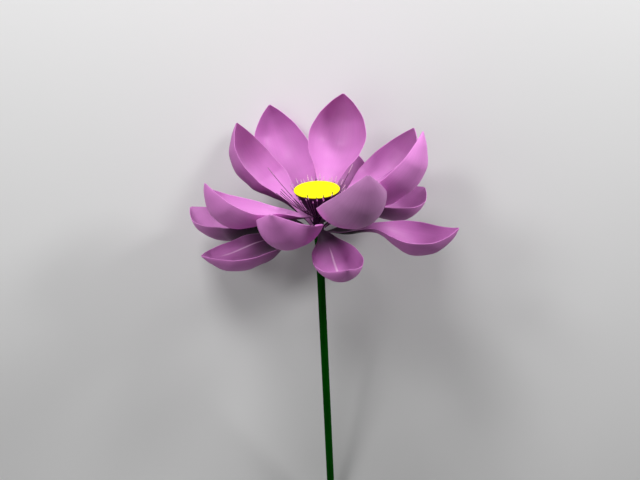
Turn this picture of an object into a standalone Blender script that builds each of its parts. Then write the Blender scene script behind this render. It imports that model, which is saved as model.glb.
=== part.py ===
"""Cut lotus flower lying on its back petals and on the end of its stem.

The flower is modelled upright in its own axes, in millimetres: z runs up the
stem, y points to the back of the flower and the origin is where the inner
petals are attached. Each mesh is then laid down and set on z = 0 in metres.
"""
import math

import bpy
from mathutils import Matrix, Vector

MM = 0.001

# Stem: a round stalk, cut square, that flares a little under the flower.
STEM_LENGTH = 288.0
STEM_RADIUS = 3.3
STEM_TOP_RADIUS = 4.2
STEM_TOP = -12.3
STEM_SIDES = 20
STEM_STRAIGHT = (0.0, 0.3, 0.6)
STEM_FLARE = ((24.0, 0.0), (10.0, 0.25))
STEM_GREEN = (0.004, 0.03, 0.005)

# Receptacle: a collar that carries the petals, and an upturned cone with a flat top.
COLLAR_RADIUS = 4.2
COLLAR_BOTTOM = -12.0
CONE_START = 3.0
CONE_NECK = (5.9, 6.5)
CONE_RIM = (17.3, 24.6)
DISC_RADIUS = 18.0
DISC_HEIGHT = 26.0
DISC_EDGE = (0.4, 0.5)
RECEPTACLE_SIDES = 36
RECEPTACLE_PLUM = (0.12, 0.03, 0.12)

# Stamens: thin threads in two rings, each ending in a thicker anther. A few on the left lean out.
STAMEN_COUNT = 40
FILAMENT_RADIUS = 0.34
ANTHER_WIDENING = 1.9
STAMEN_RINGS = ((5.9, 4.8), (7.1, 5.9))
STAMEN_REACH = 22.3
STAMEN_HEIGHT = 28.5
LONG_STAMENS = {2: 1.4, 18: 1.42}
LEAN_HEADING = math.radians(182.0)
LEAN_WIDTH = math.radians(28.0)
LEAN_OUT = 8.0
LEAN_DROP = 2.5
REACH_CURVE = 0.9
RISE_CURVE = 1.1
STAMEN_PLUM = (0.25, 0.08, 0.2)
# Each spread is an amount and how fast it changes from one stamen to the next.
TURN_SPREAD = (0.03, 1.7)
REACH_SPREAD = (1.5, 2.9)
RISE_SPREAD = (1.8, 4.3)
SWAY_SPREAD = (0.8, 3.1)
PATH_SPOTS = (0.0, 0.15, 0.4, 0.7, 0.84, 0.88, 1.0)
ANTHER_START = 0.86

# Petal: half width, cup angle and rim height at stations along its length.
STATIONS = (0.0, 0.12, 0.26, 0.40, 0.54, 0.68, 0.82, 0.93, 1.0)
HALF_WIDTH = (1.3, 3.6, 7.4, 12.4, 20.4, 23.5, 19.2, 9.9, 0.8)
CUP_ANGLE = (22.0, 40.0, 56.0, 65.0, 70.0, 73.0, 73.0, 68.0, 65.0)
RIM_HEIGHT = (0.0, 0.8, 1.4, 1.2, -1.0, -3.1, -3.6, -2.0, 0.0)
CLAW_MIDDLE = 0.40
CLAW_SPREAD = 0.14
FOOT_MIDDLE = 0.14
FOOT_SPREAD = 0.10
HOOK_START = 0.70
PETAL_LENGTH = 104.0
PETAL_THICKNESS = 1.0
RIM_SHARE = 0.5
BASE_RADIUS = 5.0
ROWS = 13
COLUMNS = 6
ROW_CROWDING = 1.25
BEND_STEPS = 200
PETAL_ORCHID = (0.5, 0.16, 0.5)

# turn: compass angle of the petal; lift: angle of its tip above the base;
# roll: turn about its own length; sink: how far below the inner petals it is attached;
# size, width, depth: scale factors; bow: how much the whole length curves up;
# hook: how much the last part curves up as well; claw and foot: extra width of the
# narrow part and of its very base.
SHAPE_KEYS = ("width", "depth", "claw", "foot", "bow", "hook")
PLACE_KEYS = ("turn", "lift", "roll", "sink")
PETALS = {
    "inner_petal_back": dict(turn=68, lift=51.6, roll=8.5, sink=0.6, bow=-2, hook=31.6, claw=0.07),
    "inner_petal_back_left": dict(
        turn=111.4, lift=35.9, roll=-7.1, sink=6, size=1.178, bow=30, hook=21.5, width=0.85,
        depth=0.889, claw=0.452,
    ),
    "inner_petal_left": dict(
        turn=150.7, lift=50.5, roll=4.8, sink=6.5, size=0.974, bow=8.4, width=0.913, depth=1.307,
        claw=0.41, foot=0.3,
    ),
    "inner_petal_front_left": dict(
        turn=207.9, lift=29.5, roll=0.9, sink=-3.5, size=0.95, bow=21, width=1.08, depth=1.06,
        claw=0.03, foot=0.8,
    ),
    "inner_petal_front": dict(
        turn=249.9, lift=29.9, roll=0.9, sink=6, size=0.968, width=0.943, depth=1.166, claw=0.46,
    ),
    "inner_petal_front_right": dict(
        turn=293.8, lift=37.8, roll=-7, sink=0.65, size=1.014, bow=9.5, hook=17.2, depth=1.1,
        claw=0.235,
    ),
    "inner_petal_right": dict(
        turn=346.4, lift=46.7, roll=-9.4, sink=6, size=1.076, bow=9.4, width=0.9, depth=1.213,
        claw=0.586,
    ),
    "inner_petal_back_right": dict(
        turn=29, lift=33.7, roll=0.25, sink=1, size=1.008, bow=16.9, width=0.988, depth=0.975,
        claw=0.12,
    ),
    "outer_petal_left": dict(
        turn=149.7, lift=0.2, roll=7.25, sink=10.8, size=1.162, bow=-5.3, width=1.085, depth=0.846,
        claw=0.736, foot=0.9,
    ),
    "outer_petal_front_left": dict(
        turn=212.9, lift=6.5, roll=8, sink=10.8, size=0.948, bow=-8.6, width=1.086, depth=0.796,
        claw=0.555, foot=0.9,
    ),
    "outer_petal_front": dict(
        turn=281.4, lift=3.3, roll=0.5, sink=5.5, size=0.863, bow=-2.9, hook=17.4, width=0.9,
        depth=0.947, claw=0.15, foot=0.4,
    ),
    "outer_petal_right": dict(
        turn=343.7, lift=3.5, roll=-1.9, sink=10.3, size=1.02, bow=-22.3, hook=28.8, width=0.9,
        depth=1.09, claw=-0.366, foot=1.2,
    ),
    "outer_petal_back_right": dict(
        turn=34.7, lift=2.7, roll=2.7, sink=7.5, size=1.039, bow=-29.8, width=1.093, depth=1.028,
        claw=0.08,
    ),
    "outer_petal_back": dict(turn=71.5, lift=15.55, sink=7.2, width=0.9),
    "outer_petal_back_left": dict(turn=109, lift=15.45, sink=8, width=0.88),
}

# Laying down: the stem leans up from the floor towards the head.
LIE_PITCH = 16.87


def slopes(stations, values):
    """Slopes of a smooth curve through the stations that never overshoots them."""
    steps = [(b - a) / (t - s) for a, b, s, t in zip(values, values[1:], stations, stations[1:])]
    inner = [2 * a * b / (a + b) if a * b > 0 else 0.0 for a, b in zip(steps, steps[1:])]
    return [steps[0], *inner, steps[-1]]


def along(values, s):
    """Value at the fraction s of the petal's length."""
    k = min(sum(s >= station for station in STATIONS[1:]), len(STATIONS) - 2)
    slope = slopes(STATIONS, values)
    step = STATIONS[k + 1] - STATIONS[k]
    u = (s - STATIONS[k]) / step
    blend = u * u * (3 - 2 * u)
    start = slope[k] * step * u * (1 - u) ** 2
    end = slope[k + 1] * step * u * u * (1 - u)
    return values[k] * (1 - blend) + values[k + 1] * blend + start - end


def bend(s, bow, hook):
    """Angle of the petal's middle line at the fraction s of its length."""
    late = max(0.0, (s - HOOK_START) / (1 - HOOK_START))
    return math.radians(bow) * (s - 0.5) + math.radians(hook) * late * late


def middle_point(s, bow, hook):
    """Point of the petal's bowed middle line at the fraction s of its length."""
    steps = max(1, round(s * BEND_STEPS))
    angles = [bend((k + 0.5) * s / steps, bow, hook) for k in range(steps)]
    step = PETAL_LENGTH * s / steps
    ahead = step * sum(math.cos(angle) for angle in angles)
    above = step * sum(math.sin(angle) for angle in angles)
    return ahead, above


def petal_point(s, across, width, depth, claw, foot, bow, hook):
    """Point of the petal's middle surface; across runs from -1 to 1 between its rims."""
    widening = 1 + claw * math.exp(-(((s - CLAW_MIDDLE) / CLAW_SPREAD) ** 2))
    widening += foot * math.exp(-(((s - FOOT_MIDDLE) / FOOT_SPREAD) ** 2))
    half_width = along(HALF_WIDTH, s) * width * widening
    cup = math.radians(along(CUP_ANGLE, s))
    radius = half_width / math.sin(cup)
    side = radius * math.sin(cup * across)
    height = along(RIM_HEIGHT, s) - depth * radius * (math.cos(cup * across) - math.cos(cup))
    angle = bend(s, bow, hook)
    middle_x, middle_z = middle_point(s, bow, hook)
    return Vector((middle_x - height * math.sin(angle), side, middle_z + height * math.cos(angle)))


def petal_grid(rows, columns, width=1.0, depth=1.0, claw=0.0, foot=0.0, bow=0.0, hook=0.0):
    """Rows of points from the base to the tip, closer together towards the tip."""
    spots = [1 - (1 - i / rows) ** ROW_CROWDING for i in range(rows + 1)]
    sides = [2 * j / columns - 1 for j in range(columns + 1)]
    return [[petal_point(s, a, width, depth, claw, foot, bow, hook) for a in sides] for s in spots]


def petal_placement(turn, lift, roll=0.0, sink=0.0):
    """Matrix that takes a petal from its own axes to the flower's, in metres."""
    heading = math.radians(turn)
    base = Vector((BASE_RADIUS * math.cos(heading), BASE_RADIUS * math.sin(heading), -sink)) * MM
    turning = Matrix.Rotation(heading, 4, "Z") @ Matrix.Rotation(-math.radians(lift), 4, "Y")
    return Matrix.Translation(base) @ turning @ Matrix.Rotation(math.radians(roll), 4, "X")


def finish(name, colour, roughness):
    """Principled material with one colour."""
    material = bpy.data.materials.new(name)
    material.use_nodes = True
    shader = material.node_tree.nodes["Principled BSDF"]
    shader.inputs["Base Color"].default_value = (*colour, 1.0)
    shader.inputs["Roughness"].default_value = roughness
    return material


def add_object(name, data, material, flower):
    """Object with its material, as a child of the flower's empty."""
    obj = bpy.data.objects.new(name, data)
    data.materials.append(material)
    bpy.context.collection.objects.link(obj)
    obj.parent = flower
    return obj


def add_turned_body(name, profile, sides, material, flower):
    """Round body from a profile of (radius, height) points, bottom to top, with flat ends."""
    angles = [2 * math.pi * k / sides for k in range(sides)]
    points = [(r * math.cos(a) * MM, r * math.sin(a) * MM, z * MM) for r, z in profile for a in angles]
    faces = [tuple(reversed(range(sides)))]
    for ring in range(len(profile) - 1):
        low = ring * sides
        for k in range(sides):
            after = (k + 1) % sides
            faces.append((low + k, low + after, low + sides + after, low + sides + k))
    faces.append(tuple(range(len(points) - sides, len(points))))
    mesh = bpy.data.meshes.new(name)
    mesh.from_pydata(points, [], faces)
    return add_object(name, mesh, material, flower)


def add_stem(flower):
    """Straight stalk that widens under the flower."""
    top = STEM_TOP
    bottom = top - STEM_LENGTH
    profile = [(STEM_RADIUS, bottom + STEM_LENGTH * share) for share in STEM_STRAIGHT]
    profile += [(STEM_RADIUS + extra, top - below) for below, extra in STEM_FLARE]
    profile.append((STEM_TOP_RADIUS, top))
    add_turned_body("stem", profile, STEM_SIDES, finish("stem green", STEM_GREEN, 0.45), flower)


def add_receptacle(flower):
    """Collar, cone and flat disc, grown as one body."""
    side = [(COLLAR_RADIUS, COLLAR_BOTTOM), (COLLAR_RADIUS, CONE_START), CONE_NECK]
    edge_width, edge_drop = DISC_EDGE
    side += [CONE_RIM, (DISC_RADIUS, DISC_HEIGHT - edge_drop)]
    top = [(DISC_RADIUS - edge_width, DISC_HEIGHT), (DISC_RADIUS / 2, DISC_HEIGHT)]
    plum = finish("receptacle plum", RECEPTACLE_PLUM, 0.5)
    add_turned_body("receptacle", side + top, RECEPTACLE_SIDES, plum, flower)


def varied(spread, k):
    """How much stamen k differs from the others."""
    amount, pace = spread
    return amount * math.sin(pace * k)


def stamen_path(k):
    """Points of the thread of stamen k, from its foot on the cone to its tip."""
    foot_radius, foot_height = STAMEN_RINGS[k % 2]
    heading = 2 * math.pi * k / STAMEN_COUNT + varied(TURN_SPREAD, k)
    growth = LONG_STAMENS.get(k, 1.0)
    leaning = math.exp(-(((heading - LEAN_HEADING) / LEAN_WIDTH) ** 2))
    reach = (STAMEN_REACH + LEAN_OUT * leaning + varied(REACH_SPREAD, k)) * growth - foot_radius
    rise = (STAMEN_HEIGHT - LEAN_DROP * leaning + varied(RISE_SPREAD, k)) * growth - foot_height
    sway = varied(SWAY_SPREAD, k)
    points = []
    for u in PATH_SPOTS:
        radius = foot_radius + reach * u**REACH_CURVE
        angle = heading + sway * u * u / radius
        height = foot_height + rise * u**RISE_CURVE
        points.append((radius * math.cos(angle), radius * math.sin(angle), height))
    return points


def add_stamens(flower):
    """Threads around the cone, thicker where the anther is."""
    pale = finish("stamen plum", STAMEN_PLUM, 0.6)
    for k in range(STAMEN_COUNT):
        name = f"stamen_{k + 1:02d}"
        curve = bpy.data.curves.new(name, "CURVE")
        curve.dimensions = "3D"
        curve.bevel_depth = FILAMENT_RADIUS * MM
        curve.bevel_resolution = 1
        curve.use_fill_caps = True
        thread = curve.splines.new("POLY")
        thread.points.add(len(PATH_SPOTS) - 1)
        for point, spot, place in zip(thread.points, PATH_SPOTS, stamen_path(k)):
            point.co = (place[0] * MM, place[1] * MM, place[2] * MM, 1.0)
            point.radius = ANTHER_WIDENING if spot > ANTHER_START else 1.0
        add_object(name, curve, pale, flower)


def add_petal(name, shape, size, placement, material, flower):
    """One petal: a cupped sheet, thickened and thinner at its rims."""
    grid = petal_grid(ROWS, COLUMNS, **shape)
    points = [tuple(point * size * MM) for row in grid for point in row]
    wide = COLUMNS + 1
    faces = []
    for i in range(ROWS):
        for j in range(COLUMNS):
            corner = i * wide + j
            faces.append((corner, corner + wide, corner + wide + 1, corner + 1))
    mesh = bpy.data.meshes.new(name)
    mesh.from_pydata(points, [], faces)
    mesh.shade_smooth()
    petal = add_object(name, mesh, material, flower)
    petal.matrix_local = placement
    body = petal.vertex_groups.new(name="body")
    body.add([i * wide + j for i in range(ROWS + 1) for j in range(1, COLUMNS)], 1.0, "REPLACE")
    thicken = petal.modifiers.new("thickness", "SOLIDIFY")
    thicken.thickness = PETAL_THICKNESS * MM
    thicken.offset = 0.0
    thicken.vertex_group = body.name
    thicken.thickness_vertex_group = RIM_SHARE


def add_petals(flower):
    """All petals of the inner and the outer ring."""
    pink = finish("petal orchid", PETAL_ORCHID, 0.35)
    for name, settings in PETALS.items():
        shape = {key: settings[key] for key in SHAPE_KEYS if key in settings}
        place = {key: settings[key] for key in PLACE_KEYS if key in settings}
        add_petal(name, shape, settings.get("size", 1.0), petal_placement(**place), pink, flower)


def stand_on_floor(flower):
    """Move the flower so that the middle of its box's bottom face is the origin."""
    bpy.context.view_layer.update()
    depsgraph = bpy.context.evaluated_depsgraph_get()
    corners = []
    for piece in flower.children:
        solid = piece.evaluated_get(depsgraph)
        mesh = solid.to_mesh()
        corners += [solid.matrix_world @ vertex.co for vertex in mesh.vertices]
        solid.to_mesh_clear()
    low = [min(corner[axis] for corner in corners) for axis in range(3)]
    high = [max(corner[axis] for corner in corners) for axis in range(3)]
    flower.location = (-(low[0] + high[0]) / 2, -(low[1] + high[1]) / 2, -low[2])


for old in list(bpy.data.objects):
    bpy.data.objects.remove(old, do_unlink=True)

lotus = bpy.data.objects.new("lotus", None)
bpy.context.collection.objects.link(lotus)
lotus.rotation_euler = (math.radians(LIE_PITCH - 90.0), 0.0, 0.0)
add_stem(lotus)
add_receptacle(lotus)
add_stamens(lotus)
add_petals(lotus)
stand_on_floor(lotus)
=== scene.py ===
"""Cut lotus flower lying down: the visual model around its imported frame."""
import math

import bpy
import numpy as np
from mathutils import Matrix, Vector


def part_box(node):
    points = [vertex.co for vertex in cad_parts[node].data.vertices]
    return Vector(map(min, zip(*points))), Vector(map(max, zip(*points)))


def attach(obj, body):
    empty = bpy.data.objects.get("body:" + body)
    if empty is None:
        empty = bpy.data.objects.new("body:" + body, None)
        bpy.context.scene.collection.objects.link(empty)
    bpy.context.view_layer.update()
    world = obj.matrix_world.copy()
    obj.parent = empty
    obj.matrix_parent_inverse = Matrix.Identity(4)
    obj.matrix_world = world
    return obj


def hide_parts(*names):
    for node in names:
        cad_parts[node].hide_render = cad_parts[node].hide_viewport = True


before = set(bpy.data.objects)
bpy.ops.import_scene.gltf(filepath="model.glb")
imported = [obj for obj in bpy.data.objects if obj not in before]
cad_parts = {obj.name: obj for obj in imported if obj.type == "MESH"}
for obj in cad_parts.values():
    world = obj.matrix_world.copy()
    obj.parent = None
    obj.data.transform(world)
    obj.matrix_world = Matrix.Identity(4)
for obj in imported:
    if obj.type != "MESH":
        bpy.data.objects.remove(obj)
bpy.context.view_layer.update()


# ---------------------------------------------------------------- stem
# A straight, round stalk cut square with a knife. Its skin is a dark, waxy green with
# fine lengthwise ribs and small blunt prickles, and the cut shows pale pith with the
# air channels that run up every lotus stalk, their shallow floors painted dark green as
# shade. It carries the head and leans up to it.

MM = 0.001
STEM_LENGTH = 288.0
STEM_RADIUS = 3.3
STEM_TOP = -12.3
STEM_TOP_RADIUS = 4.2
STEM_LEAN = 16.87
STEM_CUT = STEM_TOP - STEM_LENGTH
STEM_HEIGHTS = (STEM_CUT, STEM_TOP - 24.0, STEM_TOP - 10.0, STEM_TOP)
STEM_RADII = (STEM_RADIUS, STEM_RADIUS, STEM_RADIUS + 0.25, STEM_TOP_RADIUS)
STEM_SIDES = 72
STEM_RINGS = 480
RIB_COUNT = 18
RIB_HEIGHT = 0.03
RIB_TWIST = 0.02
PRICKLE_COUNT = 150
PRICKLE_HEIGHT = 0.16
PRICKLE_RADIUS = 0.42
PRICKLE_SQUEEZE = 0.8
SMALLEST_PRICKLE = 0.5
BARE_CUT_END = 6.0
BARE_NECK = 4.0
CUT_RINGS = 25
CHANNELS = (
    dict(count=4, ring=1.15, hole=0.62, start=0.4),
    dict(count=8, ring=2.35, hole=0.27, start=0.1),
    dict(count=1, ring=0.0, hole=0.24, start=0.0),
)
CHANNEL_DEPTH = 1.6
CHANNEL_FLOOR = 0.4
CHANNEL_EDGE = 1.2
STEM_GREEN = (0.0002, 0.060, 0.0004)
STEM_GREEN_LIGHT = (0.0004, 0.095, 0.0008)
PRICKLE_BROWN = (0.012, 0.014, 0.006)
PITH_GREEN = (0.33, 0.42, 0.20)
PITH_GREEN_DARK = (0.16, 0.27, 0.08)
# Painted shade: dark green for the floors of the air channels, where the holes would be in shade.
CHANNEL_SHADE_GREEN = (0.05, 0.08, 0.02)
SKIN_STREAKS = (900.0, 40.0, 130.0)
SKIN_BLOTCHES = 60.0
PITH_CELLS = 2600.0

lean = math.radians(STEM_LEAN)
stem_low, stem_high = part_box("stem")
stem_top = Vector((
    (stem_low.x + stem_high.x) / 2,
    stem_high.y - STEM_TOP_RADIUS * MM * math.sin(lean),
    stem_high.z - STEM_TOP_RADIUS * MM * math.cos(lean),
))
flower_up = Vector((0.0, math.cos(lean), math.sin(lean)))
flower_centre = stem_top - flower_up * STEM_TOP * MM
flower_place = Matrix.Translation(flower_centre) @ Matrix.Rotation(lean - math.pi / 2, 4, "X")


def laid_down(points):
    """Points in the flower's own axes, in millimetres, moved to where it lies, in metres."""
    turn = np.array(flower_place.to_3x3())
    return np.asarray(points) * MM @ turn.T + np.array(flower_place.translation)


class Wire:
    """One output of a material's nodes; sums and products of wires add Math nodes."""

    # Where the Mix node keeps its sockets for colours.
    FACTOR, COLOUR_ZERO, COLOUR_ONE, COLOUR_RESULT = 0, 6, 7, 2

    def __init__(self, socket):
        self.socket = socket
        self.tree = socket.id_data

    @classmethod
    def node(cls, tree, kind, settings=None, sockets=None, output=0):
        """Adds a node: its settings first, then the values or wires of its sockets."""
        new = tree.nodes.new(kind)
        for key, value in (settings or {}).items():
            setattr(new, key, value)
        for key, value in (sockets or {}).items():
            if isinstance(value, cls):
                tree.links.new(value.socket, new.inputs[key])
            elif new.inputs[key].type == "RGBA":
                new.inputs[key].default_value = (*value, 1.0)
            else:
                new.inputs[key].default_value = value
        return cls(new.outputs[output])

    def math(self, operation, first, second=0.0):
        """Math node of this material."""
        return Wire.node(self.tree, "ShaderNodeMath", {"operation": operation}, {0: first, 1: second})

    def __add__(self, other):
        return self.math("ADD", self, other)

    def __sub__(self, other):
        return self.math("SUBTRACT", self, other)

    def __rsub__(self, other):
        return self.math("SUBTRACT", other, self)

    def __mul__(self, other):
        return self.math("MULTIPLY", self, other)

    def __abs__(self):
        return self.math("ABSOLUTE", self)

    __radd__ = __add__
    __rmul__ = __mul__

    def eased(self, low, high, at_low, at_high):
        """One number below low, another above high and smooth between."""
        sockets = {"From Min": low, "From Max": high, "To Min": at_low, "To Max": at_high, "Value": self}
        return Wire.node(self.tree, "ShaderNodeMapRange", {"interpolation_type": "SMOOTHSTEP"}, sockets)

    def rise(self, low, high):
        """0 below low, 1 above high and smooth between."""
        return self.eased(low, high, 0.0, 1.0)

    def near(self, centre, width):
        """1 where this value is at the centre, falling smoothly to 0 at that width from it."""
        return abs(self - centre).eased(0.0, width, 1.0, 0.0)

    def mix(self, zero, one):
        """Colour that goes from zero to one as this value does."""
        sockets = {self.FACTOR: self, self.COLOUR_ZERO: zero, self.COLOUR_ONE: one}
        return Wire.node(self.tree, "ShaderNodeMix", {"data_type": "RGBA"}, sockets, self.COLOUR_RESULT)


def new_finish(name, **constants):
    """Material with its fixed values set, and its shader."""
    finish = bpy.data.materials.new(name)
    finish.use_nodes = True
    shader = finish.node_tree.nodes["Principled BSDF"]
    for key, value in constants.items():
        shader.inputs[key.replace("_", " ")].default_value = value
    return finish, shader


def feed(shader, **wires):
    """Links what changes over the surface to the shader."""
    for key, wire in wires.items():
        wire.tree.links.new(wire.socket, shader.inputs[key.replace("_", " ")])


def body_place(shader):
    """Where a point is in the flower as it lies, in metres."""
    return Wire.node(shader.id_data, "ShaderNodeTexCoord", output="Object")


def surface_place(shader):
    """The three numbers that a piece's mesh keeps for each point, as one wire and apart."""
    tree = shader.id_data
    place = Wire.node(tree, "ShaderNodeAttribute", {"attribute_name": "surface_place"}, output="Vector")
    parts = [Wire.node(tree, "ShaderNodeSeparateXYZ", None, {0: place}, output=k) for k in range(3)]
    return place, *parts


def grain(place, scale, detail=3.0, roughness=0.5):
    """Noise between 0 and 1 at that scale."""
    sockets = {"Vector": place, "Scale": scale, "Detail": detail, "Roughness": roughness}
    return Wire.node(place.tree, "ShaderNodeTexNoise", None, sockets)


def stretched(place, amounts):
    """Place multiplied along each axis."""
    return Wire.node(place.tree, "ShaderNodeVectorMath", {"operation": "MULTIPLY"}, {0: place, 1: amounts})


def bumped(height, strength, distance):
    """Normal of a relief of that height."""
    sockets = {"Height": height, "Strength": strength, "Distance": distance}
    return Wire.node(height.tree, "ShaderNodeBump", None, sockets)


def smooth(value):
    """0 to 1 again, but level at both ends."""
    return value * value * (3 - 2 * value)


def turned(radius, angle, height):
    """Points at those distances from the flower's own axis."""
    return np.stack([radius * np.cos(angle), radius * np.sin(angle), height], -1)


def round_angles(sides):
    """Directions of a ring's points."""
    return np.linspace(0, 2 * np.pi, sides, endpoint=False)


def rings_inside(count):
    """Shares of the edge's radius at which rings lie across a flat end."""
    return 1 - np.arange(1, count + 1) / (count + 1)


def tube_faces(rings, sides):
    """Quads between rings of points that follow each other, and a face across each end."""
    faces = []
    for ring in range(rings - 1):
        for k in range(sides):
            low, after = ring * sides, (k + 1) % sides
            faces.append((low + k, low + after, low + sides + after, low + sides + k))
    faces.append(tuple(reversed(range(sides))))
    faces.append(tuple(range((rings - 1) * sides, rings * sides)))
    return faces


def add_piece(name, points, faces, finish, places, replaced):
    """Piece of the flower as one closed mesh, in the place of a CAD node.

    Its places are three numbers for each point, which its finish reads.
    """
    mesh = bpy.data.meshes.new(name)
    mesh.from_pydata(laid_down(points), [], faces)
    mesh.shade_smooth()
    mesh.materials.append(finish)
    kept = mesh.attributes.new("surface_place", "FLOAT_VECTOR", "POINT")
    kept.data.foreach_set("vector", np.asarray(places, dtype=np.float32).ravel())
    piece = bpy.data.objects.new(name, mesh)
    bpy.context.collection.objects.link(piece)
    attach(piece, "root")
    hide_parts(replaced)


def prickle_relief(angle, height):
    """How far the skin rises into prickles, from 0 to 1, scattered from cut to neck."""
    draw = np.random.default_rng(7)
    relief = np.zeros_like(angle)
    for _ in range(PRICKLE_COUNT):
        at_height = draw.uniform(STEM_CUT + BARE_CUT_END, STEM_TOP - BARE_NECK)
        at_angle = draw.uniform(0, 2 * np.pi)
        size = draw.uniform(SMALLEST_PRICKLE, 1.0)
        around = (angle - at_angle + np.pi) % (2 * np.pi) - np.pi
        away = np.hypot(around * STEM_RADIUS, (height - at_height) * PRICKLE_SQUEEZE)
        relief = np.maximum(relief, size * np.exp(-((away / (PRICKLE_RADIUS * size)) ** 2)))
    return relief


def channel_relief(x, y):
    """How deep the cut sinks into air channels, from 0 to 1."""
    depth = np.zeros_like(x)
    for row in CHANNELS:
        for k in range(row["count"]):
            turn = row["start"] + 2 * np.pi * k / row["count"]
            hole_x, hole_y = row["ring"] * math.cos(turn), row["ring"] * math.sin(turn)
            away = np.hypot(x - hole_x, y - hole_y) / row["hole"]
            wall = (CHANNEL_EDGE - away) / (CHANNEL_EDGE - CHANNEL_FLOOR)
            depth = np.maximum(depth, np.clip(wall, 0, 1))
    return smooth(depth)


def add_stem():
    """Skin with ribs and prickles from the cut end to the head, and the cut face.

    Its places: how far up the skin or out on the cut, prickle or channel, and skin or cut.
    """
    angles = round_angles(STEM_SIDES)
    heights = np.linspace(STEM_CUT, STEM_TOP, STEM_RINGS)
    angle, height = np.meshgrid(angles, heights)
    prickle = prickle_relief(angle, height)
    radius = np.interp(height, STEM_HEIGHTS, STEM_RADII) - RIB_HEIGHT - 0.5 * PRICKLE_HEIGHT
    radius += RIB_HEIGHT * np.cos(RIB_COUNT * angle + RIB_TWIST * height)
    radius += PRICKLE_HEIGHT * prickle
    skin = turned(radius, angle, height)
    share = (height - STEM_CUT) / STEM_LENGTH
    skin_places = np.stack([share, prickle, np.zeros_like(share)], -1)

    part, across = np.meshgrid(rings_inside(CUT_RINGS), angles, indexing="ij")
    cut = turned(part * radius[0], across, np.full_like(part, STEM_CUT))
    depth = channel_relief(cut[..., 0], cut[..., 1])
    cut[..., 2] += CHANNEL_DEPTH * depth
    cut_places = np.stack([part, depth, np.ones_like(part)], -1)

    points = np.concatenate([cut[::-1], skin]).reshape(-1, 3)
    places = np.concatenate([cut_places[::-1], skin_places]).reshape(-1, 3)
    faces = tube_faces(CUT_RINGS + STEM_RINGS, STEM_SIDES)
    add_piece("stem_stalk", points, faces, stem_finish(), places, "stem")


def stem_finish():
    """Waxy dark green skin, and pale pith at the cut with painted shade on the floors of its air channels.
    """
    finish, shader = new_finish("stem_green", Coat_Roughness=0.45, IOR=1.4, Specular_IOR_Level=0.05)
    _, share, raised, cut = surface_place(shader)
    body = body_place(shader)
    streaks = grain(stretched(body, SKIN_STREAKS), 1.0)
    blotches = grain(body, SKIN_BLOTCHES, detail=4.0)
    green = (streaks * 0.6 + blotches * 0.4).rise(0.35, 0.7).mix(STEM_GREEN, STEM_GREEN_LIGHT)
    skin = raised.rise(0.2, 0.8).mix(green, PRICKLE_BROWN)
    cells = grain(body, PITH_CELLS, detail=1.0)
    pith = (cells.rise(0.3, 0.7) * 0.5 + share.rise(0.7, 1.0) * 0.5).mix(PITH_GREEN, PITH_GREEN_DARK)
    # Painted shade: the channel floors turn dark green as they sink.
    cut_face = raised.rise(0.1, 0.9).mix(pith, CHANNEL_SHADE_GREEN)
    feed(
        shader,
        Base_Color=cut.rise(0.4, 0.6).mix(skin, cut_face),
        Roughness=0.6 + 0.2 * streaks,
        Normal=bumped(streaks + 0.5 * blotches, 0.25, 0.0002),
        Coat_Weight=0.01 * (1 - cut),
    )
    return finish


add_stem()


# ---------------------------------------------------------------- seed head
# The receptacle: a collar that carries the petals and a firm, upturned cone with a
# flat top, grown as one body. Its side is painted a near-black plum that stands for the
# shade under the head, and has faint lengthwise ribs; its top is a saturated yellow, and
# a thin olive band of painted shade runs under the lip between them.

HEAD_SIDES = 144
# Radius and height of its side, from the foot up to the lip.
HEAD_OUTLINE = (
    (4.2, -12.0), (4.2, -6.0), (4.2, 0.0), (4.25, 2.6), (4.6, 4.4), (5.5, 6.1), (7.2, 8.9), (9.6, 12.7),
    (12.0, 16.4), (14.4, 20.1), (16.2, 23.0), (17.2, 24.5), (17.75, 25.2), (17.95, 25.5), (17.98, 25.7),
    (17.85, 25.88), (17.55, 25.98),
)
OUTLINE_STEP = 0.7
HEAD_TOP = 26.0
TOP_RINGS = 43
LIP_BOTTOM = 25.2
LIP_TOP = 25.8
HEAD_RIBS = 24
HEAD_RIB_DEPTH = 0.006
RIBS_START = 5.0
RIBS_SWELL = 6.0
RIBS_FADE = 2.0
TOP_SINK = 0.02
TOP_RELIEF = 0.02
# Painted shade: the side of the head is coloured as it looks in the shade under the petals.
HEAD_PLUM_SHADE = (0.036, 0.008, 0.036)
HEAD_PLUM_SHADE_DARK = (0.018, 0.004, 0.020)
HEAD_YELLOW = (1.0, 0.93, 0.0)
HEAD_YELLOW_DEEP = (1.0, 0.82, 0.0)
# Painted shade: dark olive under the lip's edge.
HEAD_LIP_SHADE = (0.20, 0.20, 0.005)
LIP_SHADE_BLEND = (0.955, 0.975)
HEAD_CELLS = 900.0
HEAD_CLOUD = 160.0
HEAD_STREAKS = (700.0, 120.0, 700.0)


def fine_outline():
    """Radius and height along the cone's side, a step apart, from its foot up to the lip."""
    corners = np.array(HEAD_OUTLINE)
    fine = []
    for low, high in zip(corners, corners[1:]):
        steps = max(1, int(np.linalg.norm(high - low) / OUTLINE_STEP))
        fine += [low + (high - low) * k / steps for k in range(steps)]
    return np.array([*fine, corners[-1]])


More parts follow.
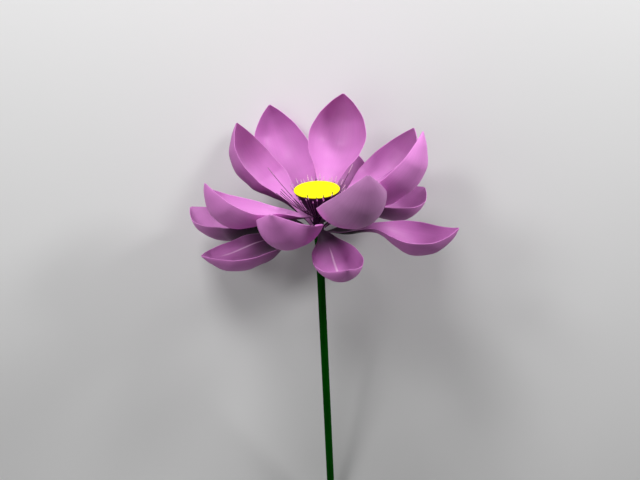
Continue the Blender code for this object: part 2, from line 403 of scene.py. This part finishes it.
def add_seed_head():
    """Turned body with ribs on its side and a fine grain of low bumps on its top.

    Its places: how far up the side or out on the top, share of a turn, and side or top.
    """
    angles = round_angles(HEAD_SIDES)
    outline = fine_outline()
    angle, radius = np.meshgrid(angles, outline[:, 0])
    height = np.repeat(outline[:, 1:], HEAD_SIDES, axis=1)
    ribbed = np.clip((height - RIBS_START) / RIBS_SWELL, 0, 1)
    ribbed *= np.clip((LIP_BOTTOM - height) / RIBS_FADE, 0, 1)
    cone = turned(radius * (1 + HEAD_RIB_DEPTH * ribbed * np.cos(HEAD_RIBS * angle)), angle, height)
    on_top = (height > LIP_TOP) * 1.0
    cone_places = np.stack([height / HEAD_TOP, angle / (2 * np.pi), on_top], -1)

    part, across = np.meshgrid(rings_inside(TOP_RINGS), angles, indexing="ij")
    top = turned(part * HEAD_OUTLINE[-1][0], across, np.full_like(part, HEAD_TOP - TOP_SINK))
    relief = TOP_RELIEF * np.sin(1.9 * top[..., 0] + 0.6) * np.sin(1.7 * top[..., 1] - 0.3)
    top[..., 2] += relief * (1 - part)
    top_places = np.stack([part, across / (2 * np.pi), np.ones_like(part)], -1)

    points = np.concatenate([cone, top]).reshape(-1, 3)
    places = np.concatenate([cone_places, top_places]).reshape(-1, 3)
    faces = tube_faces(len(cone) + len(top), HEAD_SIDES)
    add_piece("seed_head", points, faces, seed_head_finish(), places, "receptacle")


def seed_head_finish():
    """Yellow top, with painted shade on the side in near-black plum and under the lip in olive."""
    finish, shader = new_finish("seed_head_yellow_and_shaded_plum", IOR=1.45, Specular_IOR_Level=0.1)
    _, share, _, top = surface_place(shader)
    body = body_place(shader)
    cells = grain(body, HEAD_CELLS, detail=2.0)
    cloud = grain(body, HEAD_CLOUD)
    yellow = (cells * 0.5 + cloud * 0.5).rise(0.35, 0.7).mix(HEAD_YELLOW, HEAD_YELLOW_DEEP)
    streaks = grain(stretched(body, HEAD_STREAKS), 1.0)
    # Painted shade: near-black plum over the whole side.
    plum = (streaks * 0.6 + cloud * 0.4).rise(0.35, 0.65).mix(HEAD_PLUM_SHADE_DARK, HEAD_PLUM_SHADE)
    # Painted shade: the band under the lip turns dark olive.
    side = share.rise(*LIP_SHADE_BLEND).mix(plum, HEAD_LIP_SHADE)
    feed(
        shader,
        Base_Color=top.rise(0.2, 0.8).mix(side, yellow),
        Roughness=0.5 + 0.2 * cells,
        Normal=bumped(cells + 0.6 * streaks, 0.2, 0.0002),
    )
    return finish


add_seed_head()


# ---------------------------------------------------------------- stamens
# A ring of threads that grow from the foot of the cone and lean out past its rim. Each
# is a thin, dark plum filament that thickens into a long mauve anther with a pale tip.
# Painted shade darkens the anthers at the left and turns the tips in front nearly black.

STAMEN_COUNT = 40
STAMEN_RADIUS = 0.25
# Thickness along a thread: its foot, thin filament, anther and club-shaped tip.
STAMEN_SHARES = (0.0, 0.04, 0.3, 0.80, 0.85, 0.92, 0.945, 0.965, 0.985, 0.995, 1.0)
STAMEN_SWELLS = (1.35, 1.15, 1.0, 0.85, 1.5, 1.5, 1.1, 1.2, 1.1, 0.8, 0.35)
STAMEN_FEET = ((5.9, 4.8), (7.1, 5.9))
STAMEN_REACH = 22.3
STAMEN_HEIGHT = 28.5
LONG_STAMENS = {2: 1.4, 18: 1.42}
LEAN_HEADING = math.radians(182.0)
LEAN_WIDTH = math.radians(28.0)
LEAN_OUT = 8.0
LEAN_DROP = 2.5
OUTWARD_CURVE = 0.9
UPWARD_CURVE = 1.1
# How much each thread differs, and how fast that changes from thread to thread.
UNEVEN_HEADING = (0.03, 1.7)
UNEVEN_REACH = (1.5, 2.9)
UNEVEN_HEIGHT = (1.8, 4.3)
UNEVEN_SWAY = (0.8, 3.1)
FILAMENT_RINGS = np.linspace(0, 0.80, 17)
ANTHER_RINGS = np.linspace(0.82, 1, 17)
ANTHER_START = 0.84
ANTHER_END = 0.95
ANTHER_FLATNESS = 0.25
STAMEN_SIDES = 10
FILAMENT_PLUM = (0.085, 0.022, 0.072)
ANTHER_MAUVE = (0.60, 0.30, 0.54)
ANTHER_PALE = (0.88, 0.58, 0.82)
# Painted shade: near-black for the tips of the threads in front.
STAMEN_TIP_SHADE = (0.030, 0.008, 0.026)
ANTHER_SPECKLE = 2200.0
ANTHER_BLEND = (0.80, 0.86)
TIP_BLEND = (0.905, 0.925)
# Painted shade: where round the ring the anthers are darkened, and how widely.
SHADED_SIDE = 0.5
SHADED_SIDE_WIDTH = 0.14
SHADED_TIPS_START = (0.52, 0.60)
SHADED_TIPS_END = (0.90, 0.97)


def uneven(k, amount, pace):
    """Small change of thread k from the even ring."""
    return amount * math.sin(pace * k)


def stamen_path(k, share):
    """Middle of thread k at fractions of its length, from its foot on the cone to its tip."""
    foot_radius, foot_height = STAMEN_FEET[k % 2]
    heading = 2 * math.pi * k / STAMEN_COUNT + uneven(k, *UNEVEN_HEADING)
    growth = LONG_STAMENS.get(k, 1.0)
    leaning = math.exp(-(((heading - LEAN_HEADING) / LEAN_WIDTH) ** 2))
    reach = (STAMEN_REACH + LEAN_OUT * leaning + uneven(k, *UNEVEN_REACH)) * growth
    height = (STAMEN_HEIGHT - LEAN_DROP * leaning + uneven(k, *UNEVEN_HEIGHT)) * growth
    radius = foot_radius + (reach - foot_radius) * share**OUTWARD_CURVE
    sway = uneven(k, *UNEVEN_SWAY) * share * share / radius
    return turned(radius, heading + sway, foot_height + (height - foot_height) * share**UPWARD_CURVE)


def add_stamen(k, finish):
    """Thread k as a tube around its path, a little flattened at its anther.

    Its places: share of its length, angle round the thread, and the thread's share of the ring.
    """
    share = np.concatenate([FILAMENT_RINGS, ANTHER_RINGS])
    path = stamen_path(k, share)
    ahead = np.gradient(path, axis=0)
    ahead /= np.linalg.norm(ahead, axis=1, keepdims=True)
    side = np.cross(ahead, (0.0, 0.0, 1.0))
    side /= np.linalg.norm(side, axis=1, keepdims=True)
    over = np.cross(side, ahead)
    turns = round_angles(STAMEN_SIDES)
    radius = STAMEN_RADIUS * np.interp(share, STAMEN_SHARES, STAMEN_SWELLS)[:, None, None]
    flat = 1 + ANTHER_FLATNESS * ((share > ANTHER_START) & (share < ANTHER_END))[:, None, None]
    ring = side[:, None] * np.cos(turns)[:, None] * flat + over[:, None] * np.sin(turns)[:, None] / flat
    points = (path[:, None] + radius * ring).reshape(-1, 3)
    around = np.full(len(points), k / STAMEN_COUNT)
    places = np.stack([np.repeat(share, STAMEN_SIDES), np.tile(turns, len(share)), around], -1)
    faces = [tuple(reversed(face)) for face in tube_faces(len(share), STAMEN_SIDES)]
    name = f"stamen_{k + 1:02d}"
    add_piece(f"{name}_thread", points, faces, finish, places, name)


def stamen_finish():
    """Dark plum filament and mauve anther, with painted shade that darkens the anthers at the left and the
    tips in front.
    """
    finish, shader = new_finish("stamen_plum", Coat_Roughness=0.3)
    _, share, _, around = surface_place(shader)
    speckle = grain(body_place(shader), ANTHER_SPECKLE, detail=2.0)
    anther = speckle.rise(0.3, 0.7).mix(ANTHER_MAUVE, ANTHER_PALE)
    # Painted shade: anthers at the left turn dark plum.
    anther = (around.near(SHADED_SIDE, SHADED_SIDE_WIDTH) * 0.9).mix(anther, FILAMENT_PLUM)
    lower = share.rise(*ANTHER_BLEND).mix(FILAMENT_PLUM, anther)
    # Painted shade: the threads in front get near-black tips.
    shaded_front = around.rise(*SHADED_TIPS_START) * (1 - around.rise(*SHADED_TIPS_END))
    tip = shaded_front.mix(anther, STAMEN_TIP_SHADE)
    feed(
        shader,
        Base_Color=share.rise(*TIP_BLEND).mix(lower, tip),
        Roughness=0.5 + 0.3 * speckle,
        Normal=bumped(speckle, 0.3, 0.0001),
    )
    return finish


thread_finish = stamen_finish()
for k in range(STAMEN_COUNT):
    add_stamen(k, thread_finish)


# ---------------------------------------------------------------- inner petals
# Eight cupped petals around the seed head, standing up at different angles. Each is a
# living sheet about a millimetre thick that thins to a soft rim, with fine veins from
# its narrow foot to its point, satin on the outer face and smoother on the inner one.

# A petal's half width, the angle that each side is cupped through and how high its rims
# are, at stations along it from foot to point.
STATIONS = (0.0, 0.12, 0.26, 0.40, 0.54, 0.68, 0.82, 0.93, 1.0)
HALF_WIDTH = (1.3, 3.6, 7.4, 12.4, 20.4, 23.5, 19.2, 9.9, 0.8)
CUP_ANGLE = (22.0, 40.0, 56.0, 65.0, 70.0, 73.0, 73.0, 68.0, 65.0)
RIM_HEIGHT = (0.0, 0.8, 1.4, 1.2, -1.0, -3.1, -3.6, -2.0, 0.0)
PETAL_LENGTH = 104.0
PETAL_THICKNESS = 1.0
PETAL_RIM = 0.36
RIM_BULGE = 0.42
RIM_SHARPNESS = 6
THIN_POINT = 0.04
BASE_RADIUS = 5.0
PETAL_ROWS = 110
ROW_CROWDING = 1.25
PETAL_COLUMNS = 48
COLUMN_CROWDING = 0.42 * math.pi
CLAW_CENTRE = 0.40
CLAW_LENGTH = 0.14
FOOT_CENTRE = 0.14
FOOT_LENGTH = 0.10
HOOK_START = 0.70
BEND_STEPS = 400
MIDRIB_WIDTH = 0.05
MIDRIB_HEIGHT = 0.10
VEIN_COUNT = 9
VEIN_HEIGHT = 0.035
RELIEF_AT_FOOT = 0.10
RELIEF_AT_POINT = 0.12
PETAL_ORCHID = (0.66, 0.235, 0.61)
PETAL_DEEP = (0.42, 0.155, 0.385)
# Pale pink, partly the petal's own colour, partly painted highlight at the inner foot and along the rim.
PETAL_PALE_LIT = (0.90, 0.36, 0.83)
PETAL_BACK = (0.80, 0.265, 0.72)
# Painted light and shade: a lit, a shaded and a paler, greyer sheen copy of the outer face's colour, each
# for one petal.
PETAL_BACK_LIT = (0.96, 0.33, 0.87)
PETAL_BACK_SHADED = (0.56, 0.18, 0.50)
PETAL_BACK_SHEEN = (0.80, 0.40, 0.75)
# Painted shade: near-black for the feet of the petals, under the head.
PETAL_FOOT_SHADE = (0.010, 0.003, 0.009)
# Pale line colour, partly a vein and partly a painted highlight.
VEIN_AND_HIGHLIGHT_PALE = (0.95, 0.66, 0.90)
VEIN_STREAKS = (2.2, 42.0, 0.6)
PETAL_CELLS = 1500.0
PETAL_CLOUD = 45.0
VEIN_TINT = 0.35
CLOUD_TINT = 0.12
DEEP_TINT = 0.1
POINT_BLEND = (0.50, 1.0)
PALE_LIT_FOOT_BLEND = (0.16, 0.42)
BACK_FOOT_SHADE_START = 0.12
BACK_FOOT_SHADE_TINT = 0.95
# Painted shade on both faces of the outer petals' feet: where it starts and how strong it is.
FOOT_SHADE_START = 0.4
FOOT_SHADE_TINT = 0.97
# Painted highlight along the rim: where it starts and how strong it is.
RIM_HIGHLIGHT_BLEND = (0.975, 1.0)
RIM_HIGHLIGHT_TINT = 0.25
VEIN_AND_HIGHLIGHT_START = (0.34, 0.46)
VEIN_AND_HIGHLIGHT_FADE = 0.09
# turn: heading of the petal round the head; lift: angle of its tip above the base; roll:
# turn about its own length; sink: how low it is attached; size, width, depth: scale
# factors; bow: how much the whole length curves up; hook: how much the last part curves
# up as well; claw and foot: extra width of the narrow part and of its very base.
INNER_PETALS = {
    "inner_petal_back": dict(turn=68, lift=51.6, roll=8.5, sink=0.6, bow=-2, hook=31.6, claw=0.07),
    "inner_petal_back_left": dict(
        turn=111.4, lift=35.9, roll=-7.1, sink=6, size=1.178, bow=30, hook=21.5, width=0.85,
        depth=0.889, claw=0.452,
    ),
    "inner_petal_left": dict(
        turn=150.7, lift=50.5, roll=4.8, sink=6.5, size=0.974, bow=8.4, width=0.913, depth=1.307,
        claw=0.41, foot=0.3,
    ),
    "inner_petal_front_left": dict(
        turn=207.9, lift=29.5, roll=0.9, sink=-3.5, size=0.95, bow=21, width=1.08, depth=1.06,
        claw=0.03, foot=0.8,
    ),
    "inner_petal_front": dict(
        turn=249.9, lift=29.9, roll=0.9, sink=6, size=0.968, width=0.943, depth=1.166, claw=0.46,
    ),
    "inner_petal_front_right": dict(
        turn=293.8, lift=37.8, roll=-7, sink=0.65, size=1.014, bow=9.5, hook=17.2, depth=1.1,
        claw=0.235,
    ),
    "inner_petal_right": dict(
        turn=346.4, lift=46.7, roll=-9.4, sink=6, size=1.076, bow=9.4, width=0.9, depth=1.213,
        claw=0.586,
    ),
    "inner_petal_back_right": dict(
        turn=29, lift=33.7, roll=0.25, sink=1, size=1.008, bow=16.9, width=0.988, depth=0.975,
        claw=0.12,
    ),
}
# Per-petal colours, mostly painted light and shade: lit, shaded and sheen copies of the outer face, and
# stronger or weaker painted shade and highlight at foot and point.
INNER_TINTS_AND_PAINTED_LIGHT = {
    "inner_petal_front_right": dict(back=PETAL_BACK_SHEEN, back_tip_shade=0.75),
    "inner_petal_right": dict(back=PETAL_BACK_LIT),
    "inner_petal_left": dict(back=PETAL_BACK_SHADED, back_foot_shade=0.72),
    "inner_petal_back_left": dict(tip=0.0),
    "inner_petal_back_right": dict(tip=0.9, pale_lit_foot=0.95),
}


def along(values, share):
    """Smooth curve through values at the stations that never overshoots them."""
    spots, values = np.array(STATIONS), np.array(values)
    steps = np.diff(values) / np.diff(spots)
    before, after = steps[:-1], steps[1:]
    same = before * after > 0
    inner = np.where(same, 2 * before * after / np.where(same, before + after, 1), 0)
    slope = np.concatenate([steps[:1], inner, steps[-1:]])
    k = np.clip(np.searchsorted(spots, share, side="right") - 1, 0, len(spots) - 2)
    step = spots[k + 1] - spots[k]
    u = (share - spots[k]) / step
    ends = slope[k] * step * u * (1 - u) ** 2 - slope[k + 1] * step * u * u * (1 - u)
    return values[k] * (1 - smooth(u)) + values[k + 1] * smooth(u) + ends


def swell(share, centre, length):
    """1 at the centre, fading to nothing a couple of lengths from it."""
    return np.exp(-(((share - centre) / length) ** 2))


def bend(share, bow, hook):
    """Angle of a petal's middle line at fractions of its length."""
    late = np.clip((share - HOOK_START) / (1 - HOOK_START), 0, 1)
    return math.radians(bow) * (share - 0.5) + math.radians(hook) * late**2


def middle_line(share, bow, hook):
    """How far along and how high a petal's bowed middle line is at fractions of its length."""
    marks = np.linspace(0, 1, BEND_STEPS + 1)
    angles = bend((marks[1:] + marks[:-1]) / 2, bow, hook)
    ahead = np.concatenate([[0], np.cumsum(np.cos(angles))]) * PETAL_LENGTH / BEND_STEPS
    above = np.concatenate([[0], np.cumsum(np.sin(angles))]) * PETAL_LENGTH / BEND_STEPS
    return np.interp(share, marks, ahead)[:, None], np.interp(share, marks, above)[:, None]


def petal_sheet(share, across, width=1, depth=1, claw=0, foot=0, bow=0, hook=0):
    """Middle surface of a petal in its own axes, in millimetres: a grid of points."""
    widening = 1 + claw * swell(share, CLAW_CENTRE, CLAW_LENGTH)
    widening += foot * swell(share, FOOT_CENTRE, FOOT_LENGTH)
    half_width = along(HALF_WIDTH, share) * width * widening
    cup = np.radians(along(CUP_ANGLE, share))[:, None]
    radius = half_width[:, None] / np.sin(cup)
    side = radius * np.sin(cup * across)
    height = along(RIM_HEIGHT, share)[:, None] - depth * radius * (np.cos(cup * across) - np.cos(cup))
    angle = bend(share, bow, hook)[:, None]
    ahead, above = middle_line(share, bow, hook)
    return np.stack([ahead - height * np.sin(angle), side, above + height * np.cos(angle)], -1)


def set_on_head(points, turn, lift, roll, sink):
    """Moves points from a petal's own axes to its place on the head, in millimetres."""
    heading = math.radians(turn)
    base = (BASE_RADIUS * math.cos(heading), BASE_RADIUS * math.sin(heading), -sink)
    turning = Matrix.Rotation(heading, 3, "Z") @ Matrix.Rotation(-math.radians(lift), 3, "Y")
    turning = turning @ Matrix.Rotation(math.radians(roll), 3, "X")
    return points @ np.array(turning).T + np.array(base)


def petal_skins(middle, share, across):
    """Points of a petal's inner and outer skin, with midrib and veins in relief, and the normals."""
    normal = np.cross(np.gradient(middle, axis=0), np.gradient(middle, axis=1))
    normal /= np.linalg.norm(normal, axis=2, keepdims=True)
    body = np.clip(1 - np.abs(across) ** RIM_SHARPNESS, 0, 1)[None, :]
    body = body * np.clip((1 - share) / THIN_POINT, 0, 1)[:, None] ** 0.5
    half = 0.5 * (PETAL_RIM + (PETAL_THICKNESS - PETAL_RIM) * body)
    fade = np.clip(share / RELIEF_AT_FOOT, 0, 1) * np.clip((1 - share) / RELIEF_AT_POINT, 0, 1)
    midrib = MIDRIB_HEIGHT * swell(across, 0, MIDRIB_WIDTH)[None, :] * fade[:, None]
    wave = np.cos(across * VEIN_COUNT * 2 * np.pi)[None, :] * (body * fade[:, None]) ** 2
    inside = middle + normal * (half + 0.5 * midrib + VEIN_HEIGHT * wave)[..., None]
    outside = middle - normal * (half + midrib - VEIN_HEIGHT * wave)[..., None]
    return inside, outside, normal


def rim_points(middle, normal, border):
    """A soft rim: one point just outside each point of the petal's border."""
    centre, normal = middle.reshape(-1, 3), normal.reshape(-1, 3)
    before, after = centre[np.roll(border, 1)], centre[np.roll(border, -1)]
    outward = np.cross(after - before, normal[border])
    outward /= np.linalg.norm(outward, axis=1, keepdims=True)
    return centre[border] + outward * PETAL_RIM * RIM_BULGE


def sheet_faces(grid, border):
    """Quads of a petal's inner face, its outer face and the rim that joins them."""
    count = grid.size
    faces = []
    for i in range(PETAL_ROWS):
        for j in range(PETAL_COLUMNS):
            a, b, c, d = grid[i, j], grid[i + 1, j], grid[i + 1, j + 1], grid[i, j + 1]
            faces.append((a, b, c, d))
            faces.append((d + count, c + count, b + count, a + count))
    for at, point in enumerate(border):
        after = (at + 1) % len(border)
        rim, rim_after = 2 * count + at, 2 * count + after
        faces.append((point, border[after], rim_after, rim))
        faces.append((rim, rim_after, border[after] + count, point + count))
    return faces


def add_petal(name, finish, turn, lift, roll=0, sink=0, size=1, **shape):
    """One petal: both faces with midrib and veins in relief, joined round a soft rim.

    Its places: share of its length, -1 to 1 from rim to rim, and -1 outside to 1 inside.
    """
    share = 1 - (1 - np.linspace(0, 1, PETAL_ROWS + 1)) ** ROW_CROWDING
    across = np.sin(np.linspace(-1, 1, PETAL_COLUMNS + 1) * COLUMN_CROWDING) / math.sin(COLUMN_CROWDING)
    middle = petal_sheet(share, across, **shape) * size
    inside, outside, normal = petal_skins(middle, share, across)
    grid = np.arange(len(share) * len(across)).reshape(len(share), len(across))
    border = np.concatenate([grid[0, :-1], grid[:-1, -1], grid[-1, :0:-1], grid[:0:-1, 0]])
    rim = rim_points(middle, normal, border)
    points = np.concatenate([inside.reshape(-1, 3), outside.reshape(-1, 3), rim])
    sides, lengths = np.meshgrid(across, share)
    flat = np.stack([lengths.ravel(), sides.ravel()], -1)
    face_side = np.concatenate([np.ones(len(flat)), -np.ones(len(flat)), np.zeros(len(border))])
    places = np.column_stack([np.concatenate([flat, flat, flat[border]]), face_side])
    points = set_on_head(points, turn, lift, roll, sink)
    add_piece(f"{name}_sheet", points, sheet_faces(grid, border), finish, places, name)


def petal_finish(
    name, back=PETAL_BACK, tip=0.6, back_tip_shade=0.0, back_foot_shade=0.46, pale_lit_foot=0.6, foot_shade=0.0, vein=None
):
    """Satin orchid pink. Its inner foot is paler, partly its own colour and partly a painted
    highlight; its point is deeper, partly its own colour and partly painted shade; its outer
    foot is darkened with painted shade and its rim carries a painted highlight.

    Some petals have painted shade on the outer face's point, or at the foot on both faces up
    to a given share, or one pale line that is partly a vein and partly a painted highlight.
    """
    constants = {"Coat_Roughness": 0.3, "IOR": 1.42, "Specular_IOR_Level": 0.3}
    finish, shader = new_finish(name, **constants)
    place, share, across, face = surface_place(shader)
    body = body_place(shader)
    veins = grain(stretched(place, VEIN_STREAKS), 1.0, detail=4.0, roughness=0.6)
    cells = grain(body, PETAL_CELLS, detail=2.0)
    cloud = grain(body, PETAL_CLOUD)
    mottle = (veins - 0.5) * VEIN_TINT + (cloud - 0.5) * CLOUD_TINT
    point = share.rise(*POINT_BLEND)
    # Partly own colour, partly painted shade: the inner face deepens towards the point, by an amount set
    # per petal.
    inner = (point * tip + mottle + DEEP_TINT).mix(PETAL_ORCHID, PETAL_DEEP)
    # Partly own colour, partly painted highlight: the inner face pales towards the foot.
    inner = ((1 - share.rise(*PALE_LIT_FOOT_BLEND)) * pale_lit_foot).mix(inner, PETAL_PALE_LIT)
    # Painted shade: on some petals the outer face deepens towards the point.
    outer = (point * back_tip_shade + mottle + DEEP_TINT).mix(back, PETAL_DEEP)
    # Painted shade: the outer face turns near-black towards the foot.
    outer = ((1 - share.rise(BACK_FOOT_SHADE_START, back_foot_shade)) * BACK_FOOT_SHADE_TINT).mix(outer, PETAL_FOOT_SHADE)
    colour = face.rise(-0.4, 0.4).mix(outer, inner)
    # Painted shade: both faces turn near-black towards the foot, up to the given share.
    if foot_shade:
        shade = (1 - share.rise(FOOT_SHADE_START * foot_shade, foot_shade)) * FOOT_SHADE_TINT
        colour = shade.mix(colour, PETAL_FOOT_SHADE)
    # Painted highlight: a thin pale line along the rim.
    colour = (abs(across).rise(*RIM_HIGHLIGHT_BLEND) * RIM_HIGHLIGHT_TINT).mix(colour, PETAL_PALE_LIT)
    # Partly a vein, partly a painted highlight: one pale line down the inner face.
    if vein:
        ends = share.rise(*VEIN_AND_HIGHLIGHT_START) * (1 - share.rise(vein["end"] - VEIN_AND_HIGHLIGHT_FADE, vein["end"]))
        line = across.near(vein["at"], vein["width"]) * ends * face.rise(0.2, 0.8)
        colour = (line * vein["tint"]).mix(colour, VEIN_AND_HIGHLIGHT_PALE)
    feed(
        shader,
        Base_Color=colour,
        Roughness=0.52 + 0.14 * cells - 0.05 * face,
        Coat_Weight=0.05 + 0.03 * face,
        Normal=bumped(veins * 0.8 + cells * 0.15, 0.15, 0.0003),
    )
    return finish


for name, shape in INNER_PETALS.items():
    add_petal(name, petal_finish(f"{name}_orchid", **INNER_TINTS_AND_PAINTED_LIGHT.get(name, {})), **shape)


# ---------------------------------------------------------------- outer petals
# Seven older petals that grow from the collar just below the inner ring and have
# opened out flat. They are the same living sheet, with painted shade that makes them
# nearly black towards the foot, and two of them have a pale line down the inner face
# that is partly a vein and partly a painted highlight.

OUTER_PETALS = {
    "outer_petal_left": dict(
        turn=149.7, lift=0.2, roll=7.25, sink=10.8, size=1.162, bow=-5.3, width=1.085, depth=0.846,
        claw=0.736, foot=0.9,
    ),
    "outer_petal_front_left": dict(
        turn=212.9, lift=6.5, roll=8, sink=10.8, size=0.948, bow=-8.6, width=1.086, depth=0.796,
        claw=0.555, foot=0.9,
    ),
    "outer_petal_front": dict(
        turn=281.4, lift=3.3, roll=0.5, sink=5.5, size=0.863, bow=-2.9, hook=17.4, width=0.9,
        depth=0.947, claw=0.15, foot=0.4,
    ),
    "outer_petal_right": dict(
        turn=343.7, lift=3.5, roll=-1.9, sink=10.3, size=1.02, bow=-22.3, hook=28.8, width=0.9,
        depth=1.09, claw=-0.366, foot=1.2,
    ),
    "outer_petal_back_right": dict(
        turn=34.7, lift=2.7, roll=2.7, sink=7.5, size=1.039, bow=-29.8, width=1.093, depth=1.028,
        claw=0.08,
    ),
    "outer_petal_back": dict(turn=71.5, lift=15.55, sink=7.2, width=0.9),
    "outer_petal_back_left": dict(turn=109, lift=15.45, sink=8, width=0.88),
}
# Painted shade: how far up each outer petal its feet are darkened.
FOOT_SHADES = {
    "outer_petal_left": 0.90,
    "outer_petal_front_left": 0.76,
    "outer_petal_front": 0.58,
    "outer_petal_right": 0.50,
    "outer_petal_back_right": 0.74,
    "outer_petal_back": 1.0,
    "outer_petal_back_left": 0.62,
}
# Pale lines that are partly veins and partly painted highlights: place across the petal, width, end and
# strength.
VEIN_AND_HIGHLIGHT_LINES = {
    "outer_petal_front": dict(at=0.0, width=0.06, end=0.95, tint=0.8),
    "outer_petal_front_left": dict(at=-0.66, width=0.035, end=0.78, tint=0.55),
}

for name, shape in OUTER_PETALS.items():
    tint = dict(pale_lit_foot=0.0, foot_shade=FOOT_SHADES[name], vein=VEIN_AND_HIGHLIGHT_LINES.get(name))
    add_petal(name, petal_finish(f"{name}_orchid", **tint), **shape)


# ---------------------------------------------------------------- floor
# The plain, pale surface that the flower lies on. It isn't part of the flower.

FLOOR_SIDE = 6.0
FLOOR_GREY = (0.80, 0.80, 0.80)
FLOOR_GREY_DARK = (0.6, 0.6, 0.6)
FLOOR_CLOUD = 3.0


def floor_finish():
    """Pale matt grey with a faint, wide cloud."""
    finish, shader = new_finish("floor_pale", IOR=1.3)
    cloud = grain(body_place(shader), FLOOR_CLOUD)
    feed(
        shader,
        Base_Color=(cloud * 0.1).mix(FLOOR_GREY, FLOOR_GREY_DARK),
        Roughness=0.75 + 0.1 * cloud,
    )
    return finish


def add_floor():
    """Flat sheet under the flower."""
    half = FLOOR_SIDE / 2
    mesh = bpy.data.meshes.new("floor")
    corners = [(-half, -half, 0), (half, -half, 0), (half, half, 0), (-half, half, 0)]
    mesh.from_pydata(corners, [], [(0, 1, 2, 3)])
    mesh.materials.append(floor_finish())
    floor = bpy.data.objects.new("floor", mesh)
    bpy.context.collection.objects.link(floor)


add_floor()


# ---------------------------------------------------------------- lights
# Studio light: a soft key lamp over the head, smaller ones beyond it and to its left and
# right, and a broad one in front, all in an even, pale surround.

HEAD_CENTRE = flower_place @ Vector((0.0, 0.0, HEAD_TOP * MM))
LAMPS = {
    "key_light": dict(tilt=18.0, side=-45.0, distance=1.1, size=0.30, power=6.0),
    "back_light": dict(tilt=24.0, side=112.0, distance=1.1, size=0.20, power=2.9),
    "left_light": dict(tilt=46.0, side=-48.0, distance=1.1, size=0.25, power=3.3),
    "right_light": dict(tilt=54.0, side=78.0, distance=1.1, size=0.20, power=6.0),
    "front_light": dict(tilt=84.0, side=-25.0, distance=1.3, size=0.9, power=2.9),
}
SURROUND_WHITE = (1.0, 1.0, 1.0, 1.0)
SURROUND_STRENGTH = 0.05


def add_lamp(name, tilt, side, distance, size, power):
    """Square lamp aimed at the head: tilt from the flower's own up to its front, side to its right."""
    tilt, side = math.radians(tilt), math.radians(side)
    leaning = Vector((math.sin(tilt) * math.sin(side), -math.sin(tilt) * math.cos(side), math.cos(tilt)))
    towards = flower_place.to_3x3() @ leaning
    lamp = bpy.data.lights.new(name, "AREA")
    lamp.size = size
    lamp.energy = power
    light = bpy.data.objects.new(name, lamp)
    light.location = HEAD_CENTRE + towards * distance
    light.rotation_euler = towards.to_track_quat("Z", "Y").to_euler()
    bpy.context.collection.objects.link(light)


def add_surround():
    """Even light from everywhere around."""
    world = bpy.data.worlds.new("surround")
    world.use_nodes = True
    background = world.node_tree.nodes["Background"]
    background.inputs["Color"].default_value = SURROUND_WHITE
    background.inputs["Strength"].default_value = SURROUND_STRENGTH
    bpy.context.scene.world = world
    bpy.context.scene.view_settings.view_transform = "Standard"


for name, lamp in LAMPS.items():
    add_lamp(name, **lamp)
add_surround()


# ---------------------------------------------------------------- camera
# Looks down on the lying flower, at the angle that shows it as if it stood upright.

VIEW_DISTANCE = 690.0
VIEW_ELEVATION = 22.0
VIEW_DIP = 25.28
VIEW_ROLL = -2.70
LENS = 50.0
FRAMING_SHIFT = 0.00125
NEAREST_SEEN = 0.01


def add_camera():
    """Camera in the flower's own axes, in front of it and above its horizon."""
    rise = math.radians(VIEW_ELEVATION)
    from_head = Vector((0.0, -math.cos(rise), math.sin(rise))) * VIEW_DISTANCE
    place = Matrix.Translation((from_head + Vector((0.0, 0.0, HEAD_TOP))) * MM)
    dip = Matrix.Rotation(math.radians(90.0 - VIEW_DIP), 4, "X")
    roll = Matrix.Rotation(math.radians(VIEW_ROLL), 4, "Z")
    lens = bpy.data.cameras.new("camera")
    lens.lens = LENS
    lens.shift_x = FRAMING_SHIFT
    lens.clip_start = NEAREST_SEEN
    camera = bpy.data.objects.new("camera", lens)
    camera.matrix_world = flower_place @ place @ dip @ roll
    bpy.context.collection.objects.link(camera)
    bpy.context.scene.camera = camera


add_camera()
